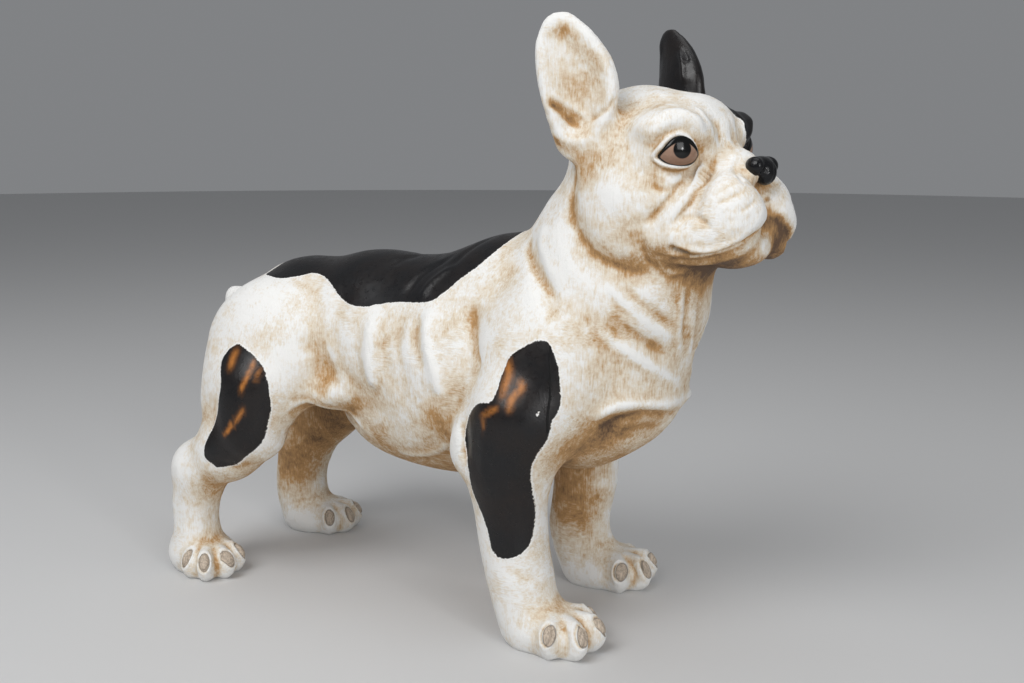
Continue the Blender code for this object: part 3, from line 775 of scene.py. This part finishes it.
class Nodes:
    """A short way to write a material's nodes."""

    def __init__(self, name):
        self.material = bpy.data.materials.new(name)
        self.material.use_nodes = True
        self.tree = self.material.node_tree
        self.shader = self.tree.nodes["Principled BSDF"]

    def node(self, kind, links=None, **settings):
        node = self.tree.nodes.new(kind)
        for key, value in settings.items():
            setattr(node, key, value)
        for key, value in (links or {}).items():
            self.feed(node.inputs[key], value)
        return node

    def feed(self, socket, value):
        if isinstance(value, bpy.types.NodeSocket):
            self.tree.links.new(value, socket)
        else:
            socket.default_value = value

    def attribute(self, name):
        return self.node("ShaderNodeAttribute", attribute_name=name).outputs["Fac"]

    def place(self):
        return self.node("ShaderNodeTexCoord").outputs["Object"]

    def distance(self, spot):
        """Metres from a fixed point of the row frame."""
        links = {0: self.place(), 1: tuple(spot)}
        return self.node("ShaderNodeVectorMath", links, operation="DISTANCE").outputs["Value"]

    def mapped(self, scale, turn):
        links = {"Vector": self.place(), "Scale": scale, "Rotation": [math.radians(a) for a in turn]}
        return self.node("ShaderNodeMapping", links).outputs[0]

    def noise(self, scale, detail=4.0, rough=0.6, distortion=0.0, where=None):
        links = {"Scale": scale, "Detail": detail, "Roughness": rough, "Distortion": distortion}
        return self.node("ShaderNodeTexNoise", {"Vector": where or self.place(), **links}).outputs["Fac"]

    def maths(self, kind, *values, clamp=False):
        node = self.node("ShaderNodeMath", dict(enumerate(values)), operation=kind, use_clamp=clamp)
        return node.outputs[0]

    def times(self, first, second, clamp=False):
        return self.maths("MULTIPLY", first, second, clamp=clamp)

    def between(self, value, low, high, start=0.0, end=1.0):
        links = {"Value": value, "From Min": low, "From Max": high, "To Min": start, "To Max": end}
        return self.node("ShaderNodeMapRange", links).outputs[0]

    def blend(self, share, first, second):
        return self.node("ShaderNodeMix", {"Factor": share, 2: first, 3: second}).outputs[0]

    def total(self, *values):
        found = values[0]
        for value in values[1:]:
            found = self.maths("ADD", found, value)
        return found

    def ramp(self, value, *stops):
        """Colours by value; the stops' places may run past 1."""
        reach = stops[-1][0]
        node = self.node("ShaderNodeValToRGB", {"Fac": self.maths("DIVIDE", value, reach)})
        elements = node.color_ramp.elements
        elements.remove(elements[1])
        for i, (place, shade) in enumerate(stops):
            element = elements[0] if i == 0 else elements.new(place / reach)
            element.position = place / reach
            element.color = rgba(shade)
        return node.outputs["Color"]

    def mix(self, share, first, second):
        return self.node("ShaderNodeMix", {"Factor": share, 6: first, 7: second}, data_type="RGBA").outputs[2]

    def bump(self, height, distance, strength):
        links = {"Height": height, "Distance": distance, "Strength": strength}
        return self.node("ShaderNodeBump", links).outputs["Normal"]

    def surface(self, name, value):
        """Sets one of the surface's own inputs."""
        self.feed(self.shader.inputs[name], value)


def rgba(value, *factors):
    """The colour, with each part or all of them multiplied."""
    factors = factors * 3 if len(factors) == 1 else factors or (1, 1, 1)
    return (*(c * f for c, f in zip(value, factors)), 1.0)


# The dry brush's streaks down, back and on the slant: fineness along each axis, and turn in degrees
STROKES = (((850, 850, 120), (10, 0, 0)), ((850, 120, 850), (0, 0, 14)), ((850, 850, 120), (46, 0, 0)))


def brushed_strokes(n):
    """Streaks of a dry brush, drawn three ways and laid over one another in blotches."""
    down, back, slant = (
        n.noise(1.0, 3.0, 0.6, 0.3, n.mapped(scale, turn))
        for scale, turn in STROKES
    )
    which = n.noise(18.0, 3.0)
    mixed = n.blend(n.between(which, 0.44, 0.50), down, slant)
    return n.blend(n.between(which, 0.54, 0.60), mixed, back)


def whitewash_and_black():
    paint = bpy.context.scene.statue_paint
    n = Nodes("whitewash_and_black_patches")
    streaks = brushed_strokes(n)
    grain = n.noise(1500.0, 3.0, 0.7)
    blotches = n.noise(34.0, 6.0, 0.65)
    flecks = n.noise(260.0, 4.0, 0.65)
    smudges = n.noise(105.0, 5.0, 0.7)

    # the whitewash: the base coat shows where it is hollow, stained, or missed by the brush, and as painted
    # shade in the hollows, creases and undersides, with painted highlight on the ridges
    stain_and_shade = n.total(
        n.times(n.attribute("drybrush_shade_and_highlight"), 0.75),
        n.times(n.attribute("stain_and_shade"), 0.95),
        n.between(blotches, 0.3, 0.7, -0.14, 0.24),
        n.between(streaks, 0.3, 0.7, -0.16, 0.20),
        n.between(flecks, 0.35, 0.7, -0.08, 0.15),
        n.between(smudges, 0.35, 0.65, -0.12, 0.15),
        0.12,
    )
    coat = n.ramp(stain_and_shade, (0.02, paint.white), (0.40, paint.cream), (0.82, paint.tan), (1.45, paint.umber))
    # umber in the deepest creases, partly stain and partly painted shade
    coat = n.mix(n.times(n.attribute("deep_crease_stain_and_shade"), 1.8, clamp=True), coat, rgba(paint.umber))

    # the nails: grey-brown, streaked lighter, with a painted shade in the groove round each one
    nail = n.between(n.attribute("nail"), -0.35, 0.25, 1.0, 0.0)
    nail_coat = n.mix(n.between(streaks, 0.4, 0.62), rgba(paint.nail), rgba(paint.nail, 1.75))
    coat = n.mix(nail, coat, nail_coat)
    # a darker ring round each nail: painted shade in the groove round it
    nail_rim_shade = n.between(n.maths("ABSOLUTE", n.attribute("nail")), 0.2, 0.6, 0.65, 0.0)
    coat = n.mix(nail_rim_shade, coat, rgba(paint.nail, 0.3))

    # the black patches, ragged at the edge, with a pale line round them, rubbed through in streaks
    ragged = n.between(n.noise(700.0, 3.0), 0.3, 0.7, -0.4, 0.4)
    patch = n.attribute("patch")
    for middle, radius in CHIPS:
        chip = n.between(n.distance(from_clay(middle)[0]), 0.0, 0.02, radius, radius - 20)
        patch = n.maths("MAXIMUM", patch, chip)
    edge = n.maths("ADD", patch, ragged)
    line = n.times(n.between(edge, 0.0, 0.25), n.between(edge, 0.7, 1.3, 1.0, 0.0))
    coat = n.mix(n.times(line, 0.75), coat, rgba([min(1, c * 1.06) for c in paint.white]))
    black = n.between(edge, -0.15, 0.15, 1.0, 0.0)
    rubbed = n.times(n.attribute("rub"), n.between(flecks, 0.3, 0.65, 0.75, 1.35), clamp=True)
    # the black is warmer in random blotches and where the stain map is high; on the undersides and inside the
    # legs this is a painted warm bounce light
    warm_stain_and_bounce = n.total(n.between(blotches, 0.4, 0.7, 0.0, 0.4), n.times(n.attribute("stain_and_shade"), 0.8))
    warm_black = [c + d for c, d in zip(paint.black, (0.014, 0.005, 0.0))]
    smoky = n.mix(n.maths("MINIMUM", warm_stain_and_bounce, 1.0), rgba(paint.black), rgba(warm_black))
    glaze = n.mix(rubbed, smoky, rgba(paint.rust))
    crack = n.between(n.maths("ABSOLUTE", n.attribute("crack")), 0.25, 0.6, 1.0, 0.0)
    # the crack painted blacker than the patch: a painted shade in its groove
    glaze = n.mix(crack, glaze, (0.001, 0.001, 0.001, 1))
    n.surface("Base Color", n.mix(black, coat, glaze))

    rough = n.between(streaks, 0.3, 0.7, 0.62, 0.78)
    gloss = n.total(n.between(flecks, 0.3, 0.7, 0.24, 0.40), n.times(crack, 0.4))
    n.surface("Roughness", n.blend(black, rough, gloss))
    n.surface("Specular IOR Level", 0.38)

    # brush marks and grain in the whitewash, waves in the black, and a step up to the black's edge
    marks = n.total(n.times(streaks, 0.8), n.times(grain, 0.35), n.times(flecks, 0.5))
    waves = n.total(
        n.times(n.noise(120.0, 4.0), 0.35), n.times(grain, 0.08),
        n.times(crack, -0.9), n.times(streaks, 0.12),
    )
    step = n.between(edge, -0.5, 0.4, 0.6, 0.0)
    height = n.total(n.blend(black, marks, waves), step, n.times(line, 0.25))
    n.surface("Normal", n.bump(height, 0.0009, 0.75))
    return n.material


# ---------------------------------------------------------------- the operators

class STATUE_OT_skin(Operator):
    """Carve and paint the statue's skin"""

    bl_idname = "statue.skin"
    bl_label = "Painted Skin"

    def execute(self, context):
        obj, web, nails = build_skin()
        fit_in_box(obj)
        paint_maps(obj, web, nails)
        lighten(obj)
        fit_in_box(obj)
        obj.data.materials.clear()
        obj.data.materials.append(whitewash_and_black())
        only(obj)
        bpy.ops.object.shade_smooth()
        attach(obj, "root")
        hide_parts(STATUE)
        return {"FINISHED"}


def eyeball(mirrored):
    """A closed cap of the eyeball that runs a little way under the lids."""
    radius = bpy.context.scene.statue_sizes.eyeball_radius
    middle = from_head(EYE_MIDDLE, mirrored)[0]
    ahead = eye_rim_spot(np.mean(EYE_OPENING, axis=0), mirrored) - middle
    ahead /= np.linalg.norm(ahead)
    bpy.ops.object.select_all(action="DESELECT")
    bpy.ops.mesh.primitive_uv_sphere_add(segments=112, ring_count=72, radius=radius, location=middle)
    obj = bpy.context.object
    obj.name = obj.data.name = "left_eye" if mirrored else "right_eye"
    bpy.ops.object.transform_apply()
    cut = middle + ahead * radius * 0.52
    edit(
        obj,
        lambda: bpy.ops.mesh.select_all(action="SELECT"),
        lambda: bpy.ops.mesh.bisect(plane_co=cut, plane_no=ahead, use_fill=True, clear_inner=True),
    )
    flat, _, away, middle = seen_from_eye(mesh_points(obj), mirrored)
    edge = outside_opening(flat)
    put_points(obj, middle + away * (radius - np.clip((edge - 0.8) * 0.8, 0, 4) / 1000)[:, None])
    put_attribute(obj, "liner_and_lid_shadow", np.clip(edge + liner_and_lid_shadow_width(flat), -5, 5))
    bpy.ops.object.shade_smooth_by_angle(angle=math.radians(40))
    return obj


def liner_and_lid_shadow_width(flat):
    """Width of the black under the lids, painted eyeliner and painted shadow of the overhanging upper lid:
    broad above and towards the nose, none below.
    """
    way = flat - np.mean(EYE_OPENING, axis=0)
    way /= np.maximum(np.linalg.norm(way, axis=1), 1e-6)[:, None]
    out, up = way.T
    return 0.5 + 2.3 * np.maximum(up, 0) ** 1.5 + 0.8 * np.maximum(-out, 0) - 0.9 * np.maximum(-up, 0)


def eye_paint(mirrored):
    paint, sizes = bpy.context.scene.statue_paint, bpy.context.scene.statue_sizes
    n = Nodes("left_eye_paint" if mirrored else "right_eye_paint")
    pupil = eye_rim_spot(np.array(PUPIL_AT), mirrored)
    black = n.between(n.distance(pupil), sizes.pupil_radius, sizes.pupil_radius + 0.0006, 1.0, 0.0)
    height = n.node("ShaderNodeSeparateXYZ", {0: n.place()}).outputs["Z"]
    low = n.between(height, pupil[2] - 0.010, pupil[2] + 0.005, 0.0, 1.0)
    brown = n.mix(low, rgba(paint.iris, 0.6), rgba(paint.iris, 1.3, 1.7, 2.2))
    # black under the lids: painted eyeliner, and a painted shadow of the overhanging upper lid
    black = n.maths("MAXIMUM", black, n.between(n.attribute("liner_and_lid_shadow"), -0.25, 0.25))
    brown = n.mix(n.between(n.noise(500.0, 4.0), 0.3, 0.7, 0.0, 0.25), brown, rgba(paint.umber))
    n.surface("Base Color", n.mix(black, brown, (0.004, 0.004, 0.004, 1)))
    n.surface("Roughness", 0.14)
    n.surface("Specular IOR Level", 0.35)
    return n.material


class STATUE_OT_eyes(Operator):
    """Set the painted eyeballs under the lids"""

    bl_idname = "statue.eyes"
    bl_label = "Eyes"

    def execute(self, context):
        for mirrored in (False, True):
            obj = eyeball(mirrored)
            obj.data.materials.append(eye_paint(mirrored))
            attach(obj, "root")
        return {"FINISHED"}


NOSE_LUMPS = [
    # middle, half sizes and turn of each lump, in the head's frame
    ((0.6, -90.0, -3.8), (7.6, 6.8, 8.0), 0),
    ((-7.8, -87.4, -0.4), (4.9, 6.6, 5.8), -18),
    ((8.4, -87.4, -0.4), (4.9, 6.6, 5.8), 18),
    ((0.3, -87.2, 1.8), (9.8, 6.2, 3.8), 0),
]


# The right nostril, mirrored to the left, and the groove down the middle: path, width and depth
NOSTRIL = [
    ([(-5.2, -95, 5), (-5.8, -96, 0), (-6.2, -95.5, -5)], 0.9, 1.3),
    ([(-6.4, -95, -1.5), (-7.6, -94, -3.5), (-9.4, -92, -4.2)], 1.2, 1.8),
]
NOSE_GROOVE = ([(0.6, -96, 6), (0.6, -97, 0), (0.6, -96.8, -6), (0.6, -94, -11)], 0.9, 1.1)


def nose():
    """Lumps of clay under one skin, then the nostrils pressed in."""
    bpy.ops.object.select_all(action="DESELECT")
    lumps = []
    for middle, half, turn in NOSE_LUMPS:
        bpy.ops.mesh.primitive_uv_sphere_add(segments=48, ring_count=32, radius=1)
        lump = bpy.context.object
        lump.data.transform(
            Matrix.Scale(0.001, 4) @ CLAY_TO_ROW @ HEAD_TO_CLAY @ Matrix.Translation(middle)
            @ Matrix.Rotation(math.radians(turn), 4, "Z") @ Matrix.Diagonal((*half, 1))
        )
        lumps.append(lump)
    for lump in lumps:
        lump.select_set(True)
    bpy.context.view_layer.objects.active = lumps[0]
    bpy.ops.object.join()
    obj = bpy.context.object
    obj.name = obj.data.name = "nose"
    obj.data.remesh_voxel_size = 0.00055
    bpy.ops.object.voxel_remesh()
    web = Neighbours(obj)
    points = web.smooth(mesh_points(obj), 6)
    put_points(obj, points)
    points, normals = mesh_points(obj), mesh_normals(obj)
    for side, grooves in ((False, NOSTRIL), (True, NOSTRIL), (False, [NOSE_GROOVE])):
        for path, width, depth in grooves:
            carve(points, normals, from_head(path, side), width, depth)
    put_points(obj, web.smooth(points, 2, 0.4))
    bpy.ops.object.shade_smooth()
    return obj


def nose_gloss():
    paint = bpy.context.scene.statue_paint
    n = Nodes("glossy_black_nose")
    n.surface("Base Color", rgba(paint.black))
    n.surface("Roughness", 0.15)
    n.surface("Specular IOR Level", 0.3)
    n.surface("Normal", n.bump(n.noise(700.0, 3.0), 0.0004, 0.5))
    return n.material


class STATUE_OT_nose(Operator):
    """Shape and paint the nose"""

    bl_idname = "statue.nose"
    bl_label = "Nose"

    def execute(self, context):
        obj = nose()
        obj.data.materials.append(nose_gloss())
        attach(obj, "root")
        return {"FINISHED"}


class STATUE_OT_stage(Operator):
    """Set the floor, the soft lights and the camera"""

    bl_idname = "statue.stage"
    bl_label = "Stage"

    def execute(self, context):
        look = context.scene.stage_look
        floor_and_backdrop(look)
        soft_lights(look)
        set_camera()
        return {"FINISHED"}


def floor_and_backdrop(look):
    bpy.ops.object.select_all(action="DESELECT")
    bpy.ops.mesh.primitive_circle_add(vertices=96, radius=6, fill_type="NGON", location=(0, 0, 0))
    floor = bpy.context.object
    floor.name = "floor"
    bpy.ops.object.transform_apply()
    n = Nodes("pale_floor")
    n.surface("Base Color", rgba(look.floor))
    n.surface("Roughness", 0.75)
    floor.data.materials.append(n.material)
    world = bpy.data.worlds.new("soft_room")
    world.use_nodes = True
    world.node_tree.nodes["Background"].inputs["Color"].default_value = (0.78, 0.80, 0.83, 1)
    world.node_tree.nodes["Background"].inputs["Strength"].default_value = 0.28
    bpy.context.scene.world = world
    bpy.context.scene.view_settings.view_transform = "Standard"


def soft_light(name, spot, target, size, energy):
    light = bpy.data.lights.new(name, "AREA")
    light.shape = "SQUARE"
    light.size = size
    light.energy = energy
    obj = bpy.data.objects.new(name, light)
    bpy.context.scene.collection.objects.link(obj)
    aim = (Vector(target) - Vector(spot)).to_track_quat("-Z", "Y")
    obj.matrix_world = Matrix.Translation(spot) @ aim.to_matrix().to_4x4()


def soft_lights(look):
    soft_light("key_light", (-1.25, 0.25, 1.45), (0, -0.02, 0.2), 1.1, look.key)
    soft_light("top_light", (0.1, -0.1, 1.9), (0, 0, 0.2), 1.2, look.key * 0.28)
    soft_light("fill_light", (-1.3, -1.7, 0.9), (0, -0.1, 0.2), 1.0, look.fill)
    soft_light("catch_light", (-0.88, -1.54, 0.47), (0, -0.15, 0.31), 0.18, 3.0)


def set_camera():
    """The photograph's camera: 62.4 degrees from the dog's tail side, 10.1 degrees down."""
    yaw, pitch, roll = math.radians(62.4), math.radians(10.1), math.radians(0.19)
    ahead = Vector((math.cos(pitch) * math.sin(yaw), math.cos(pitch) * math.cos(yaw), -math.sin(pitch)))
    level = Vector((math.cos(yaw), -math.sin(yaw), 0))
    upright = level.cross(ahead)
    right = math.cos(roll) * level + math.sin(roll) * upright
    up = -math.sin(roll) * level + math.cos(roll) * upright
    data = bpy.data.cameras.new("photo_camera")
    data.sensor_width = 36
    data.lens = 36 * 1176 / 1024
    data.clip_start = 0.01
    camera = bpy.data.objects.new("photo_camera", data)
    bpy.context.scene.collection.objects.link(camera)
    place = Matrix.Translation((-0.710, -0.40005 + CLAY_TO_ROW.translation.y / 1000, 0.329))
    camera.matrix_world = place @ Matrix((right, up, -ahead)).transposed().to_4x4()
    bpy.context.scene.camera = camera


class STATUE_PT_panel(Panel):
    """Sizes, colours and steps of the statue"""

    bl_idname = "STATUE_PT_panel"
    bl_label = "Bulldog Statue"
    bl_space_type = "VIEW_3D"
    bl_region_type = "UI"
    bl_category = "Bulldog Statue"

    def draw(self, context):
        layout = self.layout
        for group in (context.scene.statue_sizes, context.scene.statue_paint, context.scene.stage_look):
            column = layout.column()
            for name in group.__annotations__:
                column.prop(group, name)
        for step in STEPS:
            layout.operator(step.bl_idname)


STEPS = (STATUE_OT_skin, STATUE_OT_eyes, STATUE_OT_nose, STATUE_OT_stage)
GROUPS = (("statue_sizes", StatueSizes), ("statue_paint", StatuePaint), ("stage_look", StageLook))


def register():
    for name, group in GROUPS:
        bpy.utils.register_class(group)
        setattr(bpy.types.Scene, name, PointerProperty(type=group))
    for step in (*STEPS, STATUE_PT_panel):
        bpy.utils.register_class(step)


def unregister():
    for step in (STATUE_PT_panel, *reversed(STEPS)):
        bpy.utils.unregister_class(step)
    for name, group in reversed(GROUPS):
        delattr(bpy.types.Scene, name)
        bpy.utils.unregister_class(group)


def main():
    register()
    bpy.ops.statue.skin()
    bpy.ops.statue.eyes()
    bpy.ops.statue.nose()
    bpy.ops.statue.stage()


if __name__ == "__main__":
    main()
